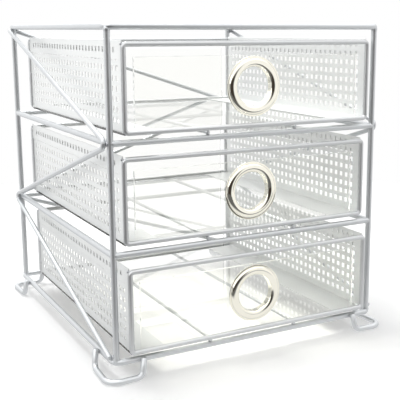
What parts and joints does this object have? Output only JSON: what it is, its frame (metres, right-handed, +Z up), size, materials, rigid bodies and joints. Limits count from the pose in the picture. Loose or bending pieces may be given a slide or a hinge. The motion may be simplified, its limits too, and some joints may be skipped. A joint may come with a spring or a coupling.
{
  "type": "letter tray stack with drawers",
  "caption": "Desktop letter tray stack: bent-wire frame on looped feet, pull-out drawers with perforated metal sides, clear floors and fronts, and round ring pulls.",
  "frame": {"origin": "centre of the bounding box on the plane the feet stand on", "axes": "+Z up, -Y towards the drawer fronts and the viewer, +X to the viewer's right"},
  "size_m": [0.3304, 0.357, 0.3369],
  "materials": {
    "frame_wire": "satin silver plating on drawn wire",
    "drawer_wire": "satin silver plating on drawn wire",
    "perforated_sheet": "bright silver, square-hole perforated sheet",
    "clear_sheet": "clear, polished, with a faint yellow-green cast at the edges",
    "polished_metal": "mirror polished"
  },
  "bodies": {
    "frame": {"top_loop": "frame_wire", "bottom_loop": "frame_wire", "post_front_left": "frame_wire", "post_front_right": "frame_wire", "post_back_left": "frame_wire", "post_back_right": "frame_wire", "bar_upper_front": "frame_wire", "bar_upper_back": "frame_wire", "bar_upper_left": "frame_wire", "bar_upper_right": "frame_wire", "bar_lower_front": "frame_wire", "bar_lower_back": "frame_wire", "bar_lower_left": "frame_wire", "bar_lower_right": "frame_wire", "brace_left": "frame_wire", "brace_right": "frame_wire", "brace_back": "frame_wire", "runners_top": "frame_wire", "runners_middle": "frame_wire", "runners_bottom": "frame_wire", "foot_front_left": "frame_wire", "foot_front_right": "frame_wire", "foot_back_left": "frame_wire", "foot_back_right": "frame_wire"},
    "drawer_top": {"top_front_wire": "drawer_wire", "top_back_wire": "drawer_wire", "top_left_side": "perforated_sheet", "top_right_side": "perforated_sheet", "top_floor": "clear_sheet", "top_front_panel": "clear_sheet", "top_back_panel": "clear_sheet", "top_pull_ring": "polished_metal", "top_pull_backing": "polished_metal"},
    "drawer_middle": {"middle_front_wire": "drawer_wire", "middle_back_wire": "drawer_wire", "middle_left_side": "perforated_sheet", "middle_right_side": "perforated_sheet", "middle_floor": "clear_sheet", "middle_front_panel": "clear_sheet", "middle_back_panel": "clear_sheet", "middle_pull_ring": "polished_metal", "middle_pull_backing": "polished_metal"},
    "drawer_bottom": {"bottom_front_wire": "drawer_wire", "bottom_back_wire": "drawer_wire", "bottom_left_side": "perforated_sheet", "bottom_right_side": "perforated_sheet", "bottom_floor": "clear_sheet", "bottom_front_panel": "clear_sheet", "bottom_back_panel": "clear_sheet", "bottom_pull_ring": "polished_metal", "bottom_pull_backing": "polished_metal"}
  },
  "joints": [
    {"name": "slide_top_drawer", "type": "slide", "parent": "frame", "child": "drawer_top", "axis": [0, -1, 0], "range_m": [-0.005, 0.225]},
    {"name": "slide_middle_drawer", "type": "slide", "parent": "frame", "child": "drawer_middle", "axis": [0, -1, 0], "range_m": [0, 0.23]},
    {"name": "slide_bottom_drawer", "type": "slide", "parent": "frame", "child": "drawer_bottom", "axis": [0, -1, 0], "range_m": [-0.008, 0.222]}
  ]
}
